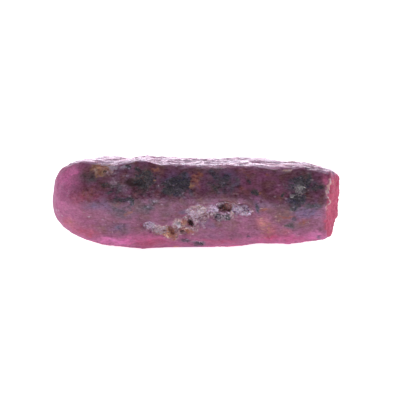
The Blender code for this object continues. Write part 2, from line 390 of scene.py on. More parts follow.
# %% Move the net
FLOOR_GRIP = 0.02  # mm: points this near to the floor stay on it
skin = places + facing * height[:, None] + push
skin[:, 0] -= cut_back
skin[places[:, 2] < FLOOR_GRIP, 2] = 0.0
skin[:, 2] = np.maximum(skin[:, 2] + rise, 0.0)
for vert, place in zip(net.verts, skin):
    vert.co = place
net.normal_update()
skin_facing = np.array([vert.normal for vert in net.verts])
print("the net's height, in mm:", round(skin[:, 2].max(), 2))

# %% [markdown]
# ## What grew into the crystal, and painted light and shade
# Nearly all that the eye sees is stuff inside or on the pink stone: mica that turns it slate blue and grey
# green, rust in the cracks, pale bruised corundum where it broke, and a soft haze of grains too small to
# see. In between are clear pink places, dark pits and fields of pale specks. Some of it is painted light and
# shade: the clear pink places are painted brighter as a glow of light through thin parts, the pits hold
# painted shade, the pale patches and specks hold painted highlights and glints, and the haze just below the
# left of the ridge is partly a painted reflection. Each kind is a list of patches, set where the crystal has
# them, and each becomes a mask on the net: one number for how much of it there is, and one for its tone.
# The material turns the numbers into colours later, so that its noise can fray their edges finer than the
# net could.

# %% Mica on the front
# Each row: place along the crystal, height, half length, half height, strength, tone.
MICA = (  # tone 0 is slate blue, 0.5 grey green and 1 olive brown
    (13.4, 5.3, 1.3, 0.6, 0.6, 0.2), (-4.8, 5.2, 0.8, 0.6, 0.65, 0.2), (-7.4, 4.7, 1.3, 0.8, 0.42, 0.3),
    (-0.8, 4.6, 0.5, 0.35, 0.6, 0.1), (-8.1, 2.7, 0.8, 0.5, 0.25, 0), (-5.2, 8, 1.7, 1.5, 0.75, 0.6),
    (-1.4, 7.7, 2.1, 1.5, 0.75, 0.15), (3.4, 7.9, 2, 1.5, 0.6, 0.3), (-8.3, 7.5, 1.3, 1.1, 0.5, 0.5),
    (12, 7.4, 1.8, 1.4, 0.75, 0.3), (11.7, 6.1, 1.2, 0.9, 0.85, 0.15), (11.3, 5.1, 1, 0.6, 0.7, 0.3),
    (-11.5, 8.5, 1.2, 0.6, 0.5, 0.6), (-9.8, 7.8, 0.85, 0.4, 0.7, 0.9), (-9.1, 7, 0.3, 0.25, 0.9, 0.4),
    (-7.5, 6.1, 1.2, 0.5, 0.7, 0), (-7.1, 9.5, 0.5, 0.25, 0.9, 0), (-8.2, 7.4, 0.8, 0.9, 0.4, 0.5),
    (-6, 9.1, 0.5, 0.3, 0.9, 0.7), (-4.6, 8.9, 0.6, 0.3, 0.95, 0.7), (-5.2, 7, 0.9, 0.5, 0.6, 0.4),
    (-6.7, 5.9, 0.35, 0.6, 0.8, 0.1), (-4.1, 5.8, 0.55, 0.45, 0.6, 0.4), (-2, 7.1, 1.4, 0.65, 0.9, 0.3),
    (-0.9, 8.7, 0.7, 0.5, 0.85, 0.1), (2.3, 8.8, 0.7, 0.6, 0.6, 0), (2.3, 6.8, 0.5, 0.3, 0.6, 1),
    (2.7, 7.4, 0.5, 0.35, 0.8, 0.9), (3.1, 9.3, 0.3, 0.15, 1, 0), (4.1, 8.6, 0.6, 0.55, 0.7, 0),
    (3.9, 7.3, 0.9, 0.8, 0.5, 0.5), (5.2, 8.1, 0.25, 0.2, 0.7, 0.8), (6.4, 8, 0.25, 0.25, 0.8, 0.4),
    (7, 6.9, 0.4, 0.55, 0.95, 0.7), (7.3, 5.1, 0.3, 0.6, 0.6, 0.1), (10.1, 6.6, 0.22, 0.55, 0.7, 0.8),
    (12.1, 7.5, 1.4, 0.95, 0.85, 0.3), (11.3, 8, 0.6, 0.35, 0.9, 0.2), (12.9, 8, 0.5, 0.5, 1, 0.5),
    (13.8, 7, 0.8, 0.5, 0.75, 0.9), (11.4, 5.8, 0.75, 0.4, 0.95, 0), (11.2, 4.8, 0.6, 0.45, 0.7, 0.4),
    (13.9, 4.1, 0.2, 0.2, 0.8, 0), (11.2, 3.7, 0.4, 0.45, 0.6, 0), (10.7, 3, 0.7, 0.5, 0.55, 0.6),
    (14, 1.5, 0.35, 0.25, 0.6, 0.3), (-0.9, 1, 0.8, 0.4, 0.65, 0.2), (0.3, 0.6, 1.1, 0.5, 0.65, 0.3),
    (2.8, 4, 0.6, 0.5, 0.75, 0.3), (3.8, 3.8, 0.6, 0.45, 0.8, 0.5), (6, 1.6, 0.25, 0.25, 0.6, 0.1),
    (-1.9, 1.7, 0.35, 0.3, 0.6, 0.9),
)
print("patches of mica:", len(MICA))

# %% Rust on the front
RUST = (  # tone 0 is dark red brown, 0.5 orange rust and 1 ochre
    (-10.1, 9.35, 1.2, 0.85, 1, 0.6), (-10.1, 9.65, 0.6, 0.25, 1, 0.25), (-10, 8.8, 0.5, 0.25, 0.9, 1),
    (-11.1, 6.9, 1.3, 0.8, 0.4, 0), (-6.9, 4.3, 0.2, 0.2, 0.9, 0.3), (-13.8, 3.2, 0.5, 0.4, 0.3, 0.6),
    (-6.2, 7.9, 1, 0.7, 0.35, 0), (-3.9, 9.3, 0.35, 0.3, 0.7, 0.3), (-3.9, 8.2, 0.35, 0.2, 0.5, 0.4),
    (0.5, 8.1, 0.6, 0.9, 0.58, 0.25), (0.2, 7.6, 0.3, 0.4, 0.7, 0.5), (0.9, 8.8, 0.3, 0.35, 0.8, 0.2),
    (-2.5, 2.1, 0.9, 0.7, 0.85, 0.22), (-2.3, 1.7, 0.3, 0.25, 0.9, 0.05), (-0.9, 3.15, 0.45, 0.4, 0.9, 0.3),
    (-1, 2.35, 0.2, 0.2, 0.9, 0), (-0.7, 2.2, 0.7, 0.55, 0.95, 0.35), (4.2, 5.2, 0.4, 0.22, 0.6, 0.5),
    (3.9, 5.1, 0.6, 0.35, 0.8, 0.1), (6, 8.9, 0.95, 0.4, 0.5, 0.1), (5.8, 7.1, 0.5, 0.4, 0.5, 0),
    (7.4, 6.7, 0.2, 0.25, 0.8, 0.5), (8.2, 8.7, 0.3, 0.3, 0.6, 0.2), (8.1, 4.75, 0.6, 0.2, 1, 0.1),
    (8.9, 3.4, 0.18, 0.12, 0.8, 0), (10.3, 4.1, 0.9, 0.2, 0.8, 0), (12.4, 3.4, 0.65, 0.35, 0.55, 0),
    (8, 2.7, 0.9, 1.3, 0.3, 0.7), (-11.1, 2.9, 0.55, 0.2, 0.5, 0), (-10.2, 3.5, 0.35, 0.2, 0.55, 0),
    (-7, 4.5, 0.5, 0.3, 0.6, 0.1),
)
print("patches of rust:", len(RUST))

# %% Bruises and painted highlights on the front
# Pale patches: bruised corundum, and painted highlights along the edge of the parting face and on the rims of
# the golden pit and the dark pit.
PALE = (  # tone 0 is lilac white and 1 peach
    (-9, 9.2, 0.9, 0.6, 0.4, 0.1), (-8.6, 8.1, 0.9, 0.7, 0.4, 0.2), (-7.3, 9.5, 0.8, 0.3, 0.65, 0),
    (-7.3, 7.4, 0.6, 0.6, 0.35, 0), (15.25, 7.6, 0.2, 0.4, 1, 0.7), (15.05, 7.1, 0.2, 0.4, 1, 0.7),
    (14.9, 6.6, 0.16, 0.4, 1, 0.7), (0.4, 0.7, 0.9, 0.35, 0.5, 0), (-8.9, 9.75, 1, 0.25, 0.9, 0),
    (-10.8, 9.1, 0.3, 0.35, 0.8, 0.8), (-10.1, 8.8, 0.4, 0.13, 0.8, 0.9), (-11.7, 4.1, 0.2, 0.13, 0.8, 0),
    (-11.3, 4.2, 0.1, 0.1, 0.7, 0), (-4.6, 5.4, 0.2, 0.18, 0.8, 0), (-9.3, 4.5, 0.18, 0.14, 0.6, 0),
    (-8.6, 7.4, 0.11, 0.08, 0.8, 0.3), (-8.4, 7.1, 0.11, 0.08, 0.7, 0.1), (-6.8, 6.4, 0.12, 0.08, 0.8, 0),
    (-15.4, 4.6, 0.35, 0.3, 0.6, 0), (-4.1, 6, 0.5, 0.3, 0.42, 0), (-2, 7.6, 0.3, 0.2, 0.6, 0),
    (-3.4, 7.7, 0.09, 0.08, 0.9, 0.4), (-4.3, 7.7, 0.09, 0.08, 0.9, 0.4), (-4.8, 2.9, 1, 0.6, 0.62, 0),
    (-4, 2.4, 0.4, 0.4, 0.7, 0.2), (-3.6, 2.4, 0.8, 0.6, 1, 0.9), (-1.9, 3.3, 0.3, 0.35, 0.8, 0.6),
    (-0.2, 4.5, 0.4, 0.5, 0.9, 0.1), (0.4, 4.2, 0.55, 0.75, 1, 0.4), (1, 4.9, 0.6, 0.45, 1, 0.7),
    (0.8, 5.4, 0.12, 0.25, 0.9, 0), (2.2, 5, 0.7, 0.4, 0.5, 0), (3.2, 5.4, 0.3, 0.25, 0.9, 0.2),
    (2.7, 4.8, 0.3, 0.25, 0.7, 0), (1.1, 3.4, 0.6, 0.1, 0.7, 0), (3.6, 4, 0.5, 0.4, 0.5, 0.2),
    (5.5, 4.8, 0.75, 0.55, 0.65, 0), (6.1, 4.8, 0.12, 0.12, 1, 0), (5.3, 4.5, 0.12, 0.12, 1, 0),
    (7.9, 5, 0.45, 0.08, 0.9, 0.9), (10.5, 9, 0.5, 0.25, 1, 0.9), (11.8, 6.8, 0.8, 0.6, 0.7, 0.3),
    (11, 6, 0.12, 0.09, 0.9, 0), (11.6, 5.8, 0.13, 0.09, 0.9, 0), (9.7, 6.9, 0.09, 0.08, 0.8, 0.3),
    (9.2, 3.5, 0.42, 0.08, 0.8, 0.9), (14.95, 5.8, 0.08, 0.5, 0.9, 0.6), (14.85, 4.9, 0.07, 0.5, 0.7, 0.6),
    (-0.1, 1.8, 0.1, 0.1, 1, 0.3),
)
print("bruises:", len(PALE))

# %% Haze on the front, with a painted reflection
HAZE = (  # tone 0 is blue violet, 0.5 mauve and 1 umber
    # The blue violet haze just below the ridge at the left is partly a painted reflection of the pale floor.
    (-11.5, 8.5, 1.2, 0.6, 0.8, 0.8), (-13, 8.2, 0.6, 0.35, 0.3, 0.9), (-10.5, 5.5, 1.9, 0.6, 0.75, 0.15),
    (-8.6, 5.1, 1.2, 0.5, 0.6, 0), (-7.8, 4.6, 1.5, 0.9, 1, 0.55), (-5.2, 5.1, 1.3, 0.8, 1, 0.65),
    (-8.2, 2.7, 1.3, 0.8, 0.6, 0.3), (-5.4, 3.6, 1, 0.8, 0.45, 0.9), (-8.2, 9.2, 0.8, 0.5, 0.5, 0.2),
    (-6.8, 8.4, 0.5, 1.1, 0.5, 0.3), (-1.5, 8.3, 1.7, 0.9, 0.5, 0.1), (3.4, 8.6, 1.6, 0.8, 0.5, 0.1),
    (-2.8, 6.1, 0.7, 0.35, 0.6, 0.5), (-2.6, 4.7, 1, 1.1, 0.5, 0.6), (1.7, 5.8, 1.3, 0.3, 0.6, 0.5),
    (-1, 4.6, 0.7, 0.4, 0.6, 0.1), (1.2, 3.35, 0.8, 0.5, 1, 0.1), (2, 2.8, 0.8, 0.4, 0.7, 0.1),
    (5.5, 4.8, 0.9, 0.6, 0.6, 0.15), (5.2, 2.7, 1.7, 0.7, 0.2, 0.5), (4.5, 1.6, 0.8, 0.5, 0.55, 0.6),
    (2, 1.6, 1.8, 0.6, 0.35, 0.3), (7.3, 5.1, 0.35, 0.65, 0.8, 0), (8.5, 5.3, 1.4, 0.35, 0.6, 0.3),
    (10.6, 4.1, 1, 0.4, 0.5, 0.7), (10.9, 3.1, 0.8, 0.7, 0.8, 0.5), (12.6, 4.35, 1.5, 0.7, 1, 0.1),
    (15.6, 8.5, 1, 0.5, 0.8, 0.4),
)
print("patches of haze:", len(HAZE))

# %% Clear pink places on the front, painted brighter as a glow of light coming through
# Clearer pink stone, painted brighter as a glow where light comes through the thin tip, the foot and the
# parting face.
GLOW = (  # tone 0 is magenta pink and 1 salmon
    (-13.9, 8.5, 1.7, 1.3, 1, 0.1), (-12.2, 6.6, 0.6, 0.55, 0.6, 0.5), (-10.7, 6.2, 0.5, 0.5, 0.6, 0.5),
    (5.8, 2.7, 1.1, 0.8, 0.4, 0.1), (8.5, 7.5, 2.5, 1.5, 0.25, 0.2), (11.5, 1.2, 1.5, 0.5, 0.7, 0.2),
    (-12.4, 6.2, 1.3, 0.8, 0.5, 0.7), (14.8, 7.6, 0.5, 1.1, 1, 0.3), (14.8, 2.9, 0.5, 0.9, 1, 0.5),
    (10.2, 1, 2.2, 0.4, 0.7, 0.2), (-14.8, 6.8, 1.5, 2.2, 0.32, 0.1), (-13.8, 3.1, 1.4, 0.8, 0.5, 0.8),
    (-12, 2.1, 1.6, 0.8, 0.6, 0.6), (-8.8, 1, 2.2, 0.5, 1, 0), (-5.2, 1.3, 2.6, 0.7, 0.8, 0.2),
    (-4.9, 0.8, 2.2, 0.5, 0.5, 0.7), (2.5, 0.9, 2.4, 0.4, 0.45, 0.5), (7.7, 3.3, 0.8, 1, 0.7, 1),
    (8.5, 2.2, 0.9, 1.1, 0.7, 0.8), (10.3, 2.2, 0.6, 0.5, 0.5, 0.9), (9.8, 1.2, 3, 0.7, 0.9, 0.2),
    (13.6, 1.6, 1.2, 0.7, 0.7, 0), (15.5, 5, 1, 4.2, 1, 0.4), (-6.2, 5, 1.2, 0.15, 0.8, 0.9),
)
print("clear pink places:", len(GLOW))

# %% Pits and cracks on the front, with painted shade in the pits
DARK = (  # tone 0 is black slate, 0.5 dark maroon and 1 the dark brown of painted shadow
    (3.4, 5, 0.6, 0.45, 0.6, 0.8), (4.2, 4.85, 0.5, 0.4, 0.35, 1), (-0.3, 3.4, 0.36, 0.28, 0.85, 0.5),
    (-10.1, 9.8, 0.6, 0.1, 0.6, 1), (-9.6, 9.4, 0.35, 0.12, 0.9, 1), (-10, 9.1, 0.3, 0.08, 0.8, 1),
    (-7.5, 4.75, 1.1, 0.6, 0.33, 0.5), (-4.9, 5.1, 0.9, 0.6, 0.3, 0.3), (-6.3, 7.85, 0.9, 0.65, 1, 0.5),
    (-1.2, 2.1, 0.2, 0.2, 0.8, 0.5), (-4.4, 5.4, 0.15, 0.12, 1, 0), (-4.3, 6.5, 0.1, 0.1, 0.8, 0),
    (3.1, 9.3, 0.26, 0.14, 1, 0), (3, 8.8, 0.11, 0.1, 1, 0), (-8.8, 7.8, 0.11, 0.11, 1, 0),
    (-14.3, 8.8, 0.1, 0.1, 0.9, 0), (-14, 7.5, 0.1, 0.1, 0.7, 0), (-14, 4.8, 0.11, 0.11, 0.8, 0),
    (-14.5, 4.9, 0.1, 0.1, 0.7, 0), (-13.4, 6.8, 0.09, 0.09, 0.6, 0), (-11.4, 4, 0.1, 0.1, 0.7, 0),
    (-9.7, 0.7, 0.35, 0.1, 0.8, 0), (10.9, 6.9, 0.28, 0.15, 0.9, 0), (11.2, 5.6, 0.5, 0.1, 0.7, 0),
    (4.2, 1.2, 0.1, 0.1, 0.8, 0), (12.9, 1.9, 0.45, 0.1, 0.7, 0), (15.6, 8.2, 0.2, 0.15, 0.6, 0),
)
print("pits and cracks:", len(DARK))

# %% Fields of pale specks on the front, partly painted glints
SPECKS = (  # tone 0 is lilac and 1 peach
    (-9.6, 9.3, 1.3, 0.8, 0.5, 0.9), (-6.9, 8.3, 1.3, 1.6, 0.9, 0), (-6.4, 6.3, 1.4, 0.9, 0.8, 0),
    (-4.6, 7.2, 1.6, 1.4, 0.6, 0.1), (-4.1, 5.8, 0.8, 0.7, 1, 0), (-1.9, 7.5, 1.4, 0.9, 0.8, 0),
    (3.4, 7.9, 1.4, 1, 0.6, 0.1), (9.6, 6.6, 1.2, 1.4, 0.4, 0.2), (12, 7.2, 1.9, 1.3, 0.9, 0.3),
    (11.4, 5.7, 0.9, 0.5, 1, 0), (-14.9, 4.6, 1, 0.8, 0.5, 0), (-9.4, 3.6, 1.2, 0.9, 0.3, 0),
    (-4.8, 3.2, 1.4, 0.9, 0.8, 0), (3.4, 4.4, 1.6, 1.3, 1, 0.1), (5.6, 4.8, 1.2, 0.8, 1, 0),
    (1.3, 2.9, 1.2, 0.9, 0.5, 0), (9, 3.6, 1.6, 1.2, 0.35, 0.9), (14.9, 6.6, 0.3, 1.6, 1, 0.8),
    (-7.5, 2.2, 1.6, 0.6, 0.4, 0), (-0.1, 0.9, 1, 0.5, 0.9, 0), (-9, 8.7, 1.2, 0.9, 0.9, 0.1),
)
print("fields of specks:", len(SPECKS))
KINDS = {"mica": MICA, "rust": RUST, "pale": PALE, "haze": HAZE, "glow": GLOW, "dark": DARK, "specks": SPECKS}

# %% [markdown]
# ## The sides that the camera doesn't see
# A crystal has no wrong side, so the back, the top, the underside and the two ends get the same kinds of
# patches. Their places are drawn at random, from a generator that always starts from the same number, so
# that the crystal comes out the same on every run.

# %% Scatter patches over the other sides
SCATTER = (  # kind, side, count, half lengths in mm, how flat, strengths
    ("mica", back, 16, (1.0, 2.2), (0.4, 0.8), (0.5, 0.8)),
    ("mica", back, 40, (0.2, 0.7), (0.4, 0.9), (0.4, 0.9)),
    ("rust", back, 14, (0.15, 0.6), (0.4, 0.8), (0.4, 0.8)),
    ("pale", back, 22, (0.08, 0.3), (0.4, 1.0), (0.5, 0.8)),
    ("haze", back, 24, (0.7, 2.0), (0.3, 0.7), (0.6, 1.0)),
    ("specks", back, 14, (0.8, 2.0), (0.5, 0.8), (0.5, 1.0)),
    ("glow", back, 5, (0.8, 1.8), (0.4, 0.6), (0.3, 0.6)),
    ("dark", back, 16, (0.08, 0.3), (0.5, 1.0), (0.6, 1.0)),
    ("mica", top_face, 12, (0.3, 1.0), (0.5, 0.9), (0.3, 0.6)),
    ("rust", top_face, 6, (0.2, 0.6), (0.5, 0.9), (0.3, 0.6)),
    ("haze", top_face, 12, (0.6, 1.6), (0.5, 0.8), (0.4, 0.7)),
    # The pale patches on the top face are painted highlights.
    ("pale", top_face, 70, (0.5, 1.5), (0.4, 0.7), (0.4, 0.9)),
    ("glow", top_face, 24, (0.5, 1.4), (0.3, 0.6), (0.6, 1.0)),
    ("dark", top_face, 10, (0.1, 0.25), (0.4, 0.8), (0.5, 0.9)),
    ("haze", under_face, 8, (0.8, 2.2), (0.4, 0.7), (0.4, 0.8)),
    ("mica", under_face, 12, (0.4, 1.5), (0.4, 0.8), (0.5, 0.9)),
    ("rust", under_face, 8, (0.2, 0.7), (0.5, 0.9), (0.5, 0.9)),
    ("glow", under_face, 10, (0.8, 2.4), (0.3, 0.6), (0.5, 0.9)),
    ("haze", parting_face, 9, (0.3, 1.2), (0.4, 0.9), (0.4, 0.8)),
    ("pale", parting_face, 6, (0.1, 0.3), (0.4, 0.7), (0.4, 0.8)),
    ("rust", parting_face, 4, (0.2, 0.5), (0.5, 0.9), (0.4, 0.7)),
    ("glow", parting_face, 6, (0.4, 1.2), (0.4, 0.8), (0.5, 0.9)),
)
anywhere = np.ones(len(places))
patches = {
    kind: [(settle(along, up), half_length, half_height, strength, tone, anywhere)
           for along, up, half_length, half_height, strength, tone in rows]
    for kind, rows in KINDS.items()
}
for kind, side, count, lengths, flatness, strengths in SCATTER:
    for index in rng.choice(np.flatnonzero(side > 0.8), count, replace=False):
        half_length = rng.uniform(*lengths)
        tone = rng.random()
        # Painted highlights on the top face stay lilac white.
        if kind == "pale" and side is top_face:
            tone = 0.0
        half_height = half_length * rng.uniform(*flatness)
        patches[kind].append((places[index], half_length, half_height, rng.uniform(*strengths), tone, side))
print("patches in all:", sum(len(rows) for rows in patches.values()))

# %% Turn the patches into masks
amounts, tones = {}, {}
for kind, rows in patches.items():
    amount = np.zeros(len(places))
    weight = np.full(len(places), 1e-6)
    toned = np.full(len(places), 0.5e-6)
    for middle, half_length, half_height, strength, tone, side in rows:
        here = strength * side * patch(middle, half_length, half_height)
        amount = np.maximum(amount, here)
        weight += here
        toned += here * tone
    amounts[kind] = amount
    tones[kind] = toned / weight
    print(kind, "covers", round(100 * float((amount > 0.5).mean()), 1), "% of the net")

# %% [markdown]
# ## The smoky cloud and its painted shade
# Most of the prism is clouded by grains too small to see, and looks plum instead of pink. The cloud fills
# the upper half, thins out towards the floor, and leaves the thin edges clear: the worn tip, the foot along
# the floor and the parting face. The same mask carries painted light and shade: the upper faces, turned
# away from the light, are painted darker than the lower faces that the floor lights, the back is painted
# as deep as the front, the clear thin edges are partly a painted glow of light that comes through them, and
# the top face loses most of the cloud as a painted sheen. A mask made from heights and directions alone
# describes it better than patches.

# %% The mask of the cloud and its painted shade
# The tip, the end and the foot are left clear, partly as a painted glow of light that comes through these
# thin parts.
CLEAR_TIP = (-14.4, -9.4)  # mm along the crystal: clear at the first, cloudy at the second
CLEAR_END = (16.2, 14.6)
CLEAR_FOOT = (1.0, 2.8)  # mm above the floor
ACROSS_RIDGE = (-1.4, 0.5)  # mm from the ridges' height: the cloud is full above the second
BELOW_RIDGE = 0.62  # how cloudy the lower faces are; they stay lighter partly as painted light from the floor
ON_BACK = 0.95  # and how cloudy the back is at least, as painted shade that keeps the brightly lit back deep
TOP_SHEEN = 0.7  # how much of the cloud the top face loses, as a painted sheen
GLOW_CLEARS = 0.75  # and the painted glow

along_axis, above_floor = ragged_places[:, 0], ragged_places[:, 2]
# Painted shade and the real cloud in one mask: full above the ridges, lighter on the lower faces.
cloud_and_shade = BELOW_RIDGE + (1 - BELOW_RIDGE) * ease(above_ridge + 0.35 * wave(1.3, shift=3.0), *ACROSS_RIDGE)
cloud_and_shade = np.maximum(cloud_and_shade, ON_BACK * back)
off_ends = ease(along_axis, *CLEAR_TIP) * ease(along_axis, *CLEAR_END)
cloud_and_shade *= ease(above_floor + 0.9 * back, *CLEAR_FOOT) * off_ends
# Painted sheen: the top face loses most of the cloud.
cloud_and_shade *= 1 - TOP_SHEEN * top_face
cloud_and_shade *= 1 - GLOW_CLEARS * amounts["glow"]
cloud_and_shade = np.clip(cloud_and_shade * (1 + 0.3 * wave(2.6, shift=13.0) + 0.15 * wave(0.9, shift=17.0)), 0.0, 1.0)
print("mean cloud on the front:", round(float(cloud_and_shade[front > 0.5].mean()), 2))

# %% Give the masks to the mesh
TOP_SHEEN_STARTS = (-13.8, -12.4)  # mm along the crystal: the painted sheen on the top face fades in here
TOP_FADES = (7.0, 13.0)  # and loses half of its strength here
PARTING_FADES = (7.4, 8.3)  # mm above the floor: the parting face's painted glow fades out here

bmesh.ops.scale(net, verts=net.verts, vec=(MM,) * 3)
mesh = bpy.data.meshes.new("sapphire")
net.to_mesh(mesh)
net.free()
mesh.shade_smooth()
chipped = [max(hollow[index] for index in face.vertices) > 0.5 for face in mesh.polygons]
mesh.polygons.foreach_set("use_smooth", [not flat for flat in chipped])


def paint(name, values):
    """Store a mask on the mesh as one number for each point."""
    layer = mesh.attributes.new(name, "FLOAT", "POINT")
    layer.data.foreach_set("value", values.astype(np.float32))


for kind in KINDS:
    paint(kind, amounts[kind])
    paint(kind + "_tone", tones[kind])
paint("cloud_and_shade", cloud_and_shade)
paint("hollow", hollow)
# Painted sheen: the top face is painted paler lilac where it mirrors the bright low sky.
paint("top", top_face * ease(places[:, 0], *TOP_SHEEN_STARTS) * (1 - 0.5 * ease(places[:, 0], *TOP_FADES)))
# The parting face: partly its own fresh colour, partly a painted glow of light through the end.
paint("parting", parting_face * (1 - 0.9 * ease(places[:, 2], *PARTING_FADES)))
crystal = add_object("sapphire", mesh)
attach(crystal, "root")
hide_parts("pink_sapphire_crystal")
print("masks on the mesh:", ", ".join(layer.name for layer in mesh.attributes if layer.data_type == "FLOAT"))

# %% [markdown]
# ## Shader helpers and shared effects
# Four effects make the patterns on the stone and on the grains: soft mottling, a mask whose edge frays, a
# fine crystalline grain, and specks. Each one is a node group, built once and set with its own numbers
# where it is used. Small helpers add a node, fill its sockets and link what is linked, so that each step of
# a material is one line.

# %% Node helpers


def node(tree, kind, sockets=None, **settings):
    """Add a node. Sockets take a number, a colour or another node's output."""
    made = tree.nodes.new("ShaderNode" + kind)
    for name, value in settings.items():
        setattr(made, name, value)
    for name, value in (sockets or {}).items():
        if isinstance(value, bpy.types.NodeSocket):
            tree.links.new(value, made.inputs[name])
        else:
            made.inputs[name].default_value = value
    return made


def math_node(tree, operation, first, second, clamp=False):
    return node(tree, "Math", {0: first, 1: second}, operation=operation, use_clamp=clamp).outputs[0]


def plus(tree, first, second, clamp=False):
    return math_node(tree, "ADD", first, second, clamp)


def minus(tree, first, second):
    return math_node(tree, "SUBTRACT", first, second)


def times(tree, first, second, clamp=False):
    return math_node(tree, "MULTIPLY", first, second, clamp)


def soft_step(tree, value, start, end, low=0.0, high=1.0):
    """Low up to start and high from end on, with a soft step between them."""
    sockets = {"Value": value, "From Min": start, "From Max": end, "To Min": low, "To Max": high}
    return node(tree, "MapRange", sockets, interpolation_type="SMOOTHSTEP").outputs[0]


def blend(tree, factor, first, second, way="MIX"):
    """Blend two colours: sockets 0, 6 and 7 of a Mix node are the factor and the colours."""
    sockets = {0: factor, 6: first, 7: second}
    return node(tree, "Mix", sockets, data_type="RGBA", blend_type=way).outputs[2]


def new_group(name, inputs, outputs):
    """An empty node group. Inputs are named with their first value, and a None is a vector."""
    group = bpy.data.node_groups.new(name, "ShaderNodeTree")
    for label, value in inputs.items():
        kind = "NodeSocketVector" if value is None else "NodeSocketFloat"
        socket = group.interface.new_socket(label, in_out="INPUT", socket_type=kind)
        if value is not None:
            socket.default_value = value
    for label in outputs:
        group.interface.new_socket(label, in_out="OUTPUT", socket_type="NodeSocketFloat")
    return group, group.nodes.new("NodeGroupInput"), group.nodes.new("NodeGroupOutput")


def use(tree, group, **sockets):
    """Place a group in a material, or in another group."""
    return node(tree, "Group", {name.capitalize(): value for name, value in sockets.items()}, node_tree=group)


# %% The shared groups
def make_mottle():
    """Soft noise between 0 and 1, with a grain in mm and a contrast."""
    inputs = {"Vector": None, "Grain": 1.0, "Contrast": 1.5, "Detail": 3.0}
    group, given, out = new_group("mottle", inputs, ["Value"])
    scale = math_node(group, "DIVIDE", 1 / MM, given.outputs["Grain"])
    sockets = {"Vector": given.outputs["Vector"], "Scale": scale, "Detail": given.outputs["Detail"]}
    soft = node(group, "TexNoise", sockets).outputs[0]
    spread = times(group, minus(group, soft, 0.5), given.outputs["Contrast"])
    group.links.new(plus(group, spread, 0.5, clamp=True), out.inputs["Value"])
    return group


def make_frayed_mask():
    """A painted amount turned into a mask with a torn edge."""
    inputs = {"Amount": 0.0, "Vector": None, "Grain": 0.4, "Fray": 1.0}
    group, given, out = new_group("frayed mask", inputs, ["Mask"])
    uneven = use(group, mottle, vector=given.outputs["Vector"], grain=given.outputs["Grain"]).outputs[0]
    shift = times(group, minus(group, uneven, 0.5), given.outputs["Fray"])
    level = plus(group, given.outputs["Amount"], shift)
    group.links.new(soft_step(group, level, 0.22, 0.72), out.inputs["Mask"])
    return group


def make_crystal_grain():
    """Tiny cells: two random values for each, and a height that is low between them."""
    inputs = {"Vector": None, "Grain": 0.25}
    group, given, out = new_group("crystal grain", inputs, ["Value", "Other", "Height"])
    scale = math_node(group, "DIVIDE", 1 / MM, given.outputs["Grain"])
    cells = node(group, "TexVoronoi", {"Vector": given.outputs["Vector"], "Scale": scale})
    drawn = node(group, "SeparateColor", {"Color": cells.outputs["Color"]})
    group.links.new(drawn.outputs[0], out.inputs["Value"])
    group.links.new(drawn.outputs[1], out.inputs["Other"])
    group.links.new(minus(group, 1.0, cells.outputs["Distance"]), out.inputs["Height"])
    return group


def make_specks():
    """Tiny specks of all sizes, and more of them where the amount is high."""
    inputs = {"Amount": 0.0, "Vector": None, "Grain": 0.3}
    group, given, out = new_group("specks", inputs, ["Mask"])
    along = node(group, "Mapping", {"Vector": given.outputs["Vector"], "Scale": (0.7, 1.0, 1.0)}).outputs[0]
    cells = use(group, crystal_grain, vector=along, grain=given.outputs["Grain"])
    share = times(group, given.outputs["Amount"], 0.3)
    drawn = math_node(group, "GREATER_THAN", share, cells.outputs["Value"])
    smaller = times(group, cells.outputs["Other"], 0.4)
    dot = soft_step(group, minus(group, cells.outputs["Height"], smaller), 0.3, 0.7)
    group.links.new(times(group, dot, drawn), out.inputs["Mask"])
    return group


mottle = make_mottle()
frayed_mask = make_frayed_mask()
crystal_grain = make_crystal_grain()
specks = make_specks()
print("node groups:", ", ".join(group.name for group in bpy.data.node_groups))

# %% [markdown]
# ## The stone
# The stone's colour is built from the inside out, as it is in the crystal. Pink comes first, then the
# magenta and salmon of a painted glow where light comes through thin parts, then the smoky cloud with its
# painted shade, the haze, the rose of the parting face, partly a painted glow, and a lilac wash on the top
# face that is a painted sheen. Then come the mica and the rust, the light and dark of the grains with
# painted glints in the hollow, and last the pale bruises with painted highlights, the specks, partly
# painted glints, and the dark pits with painted shade. Light goes a little way into corundum and comes out
# again, so the shader has some subsurface scattering, and its red part goes deepest. Light also comes right
# through the thin edges. The solid is too thick for the shader to show that, so the masks of the thin
# places feed a faint emission in the stone's own colour.

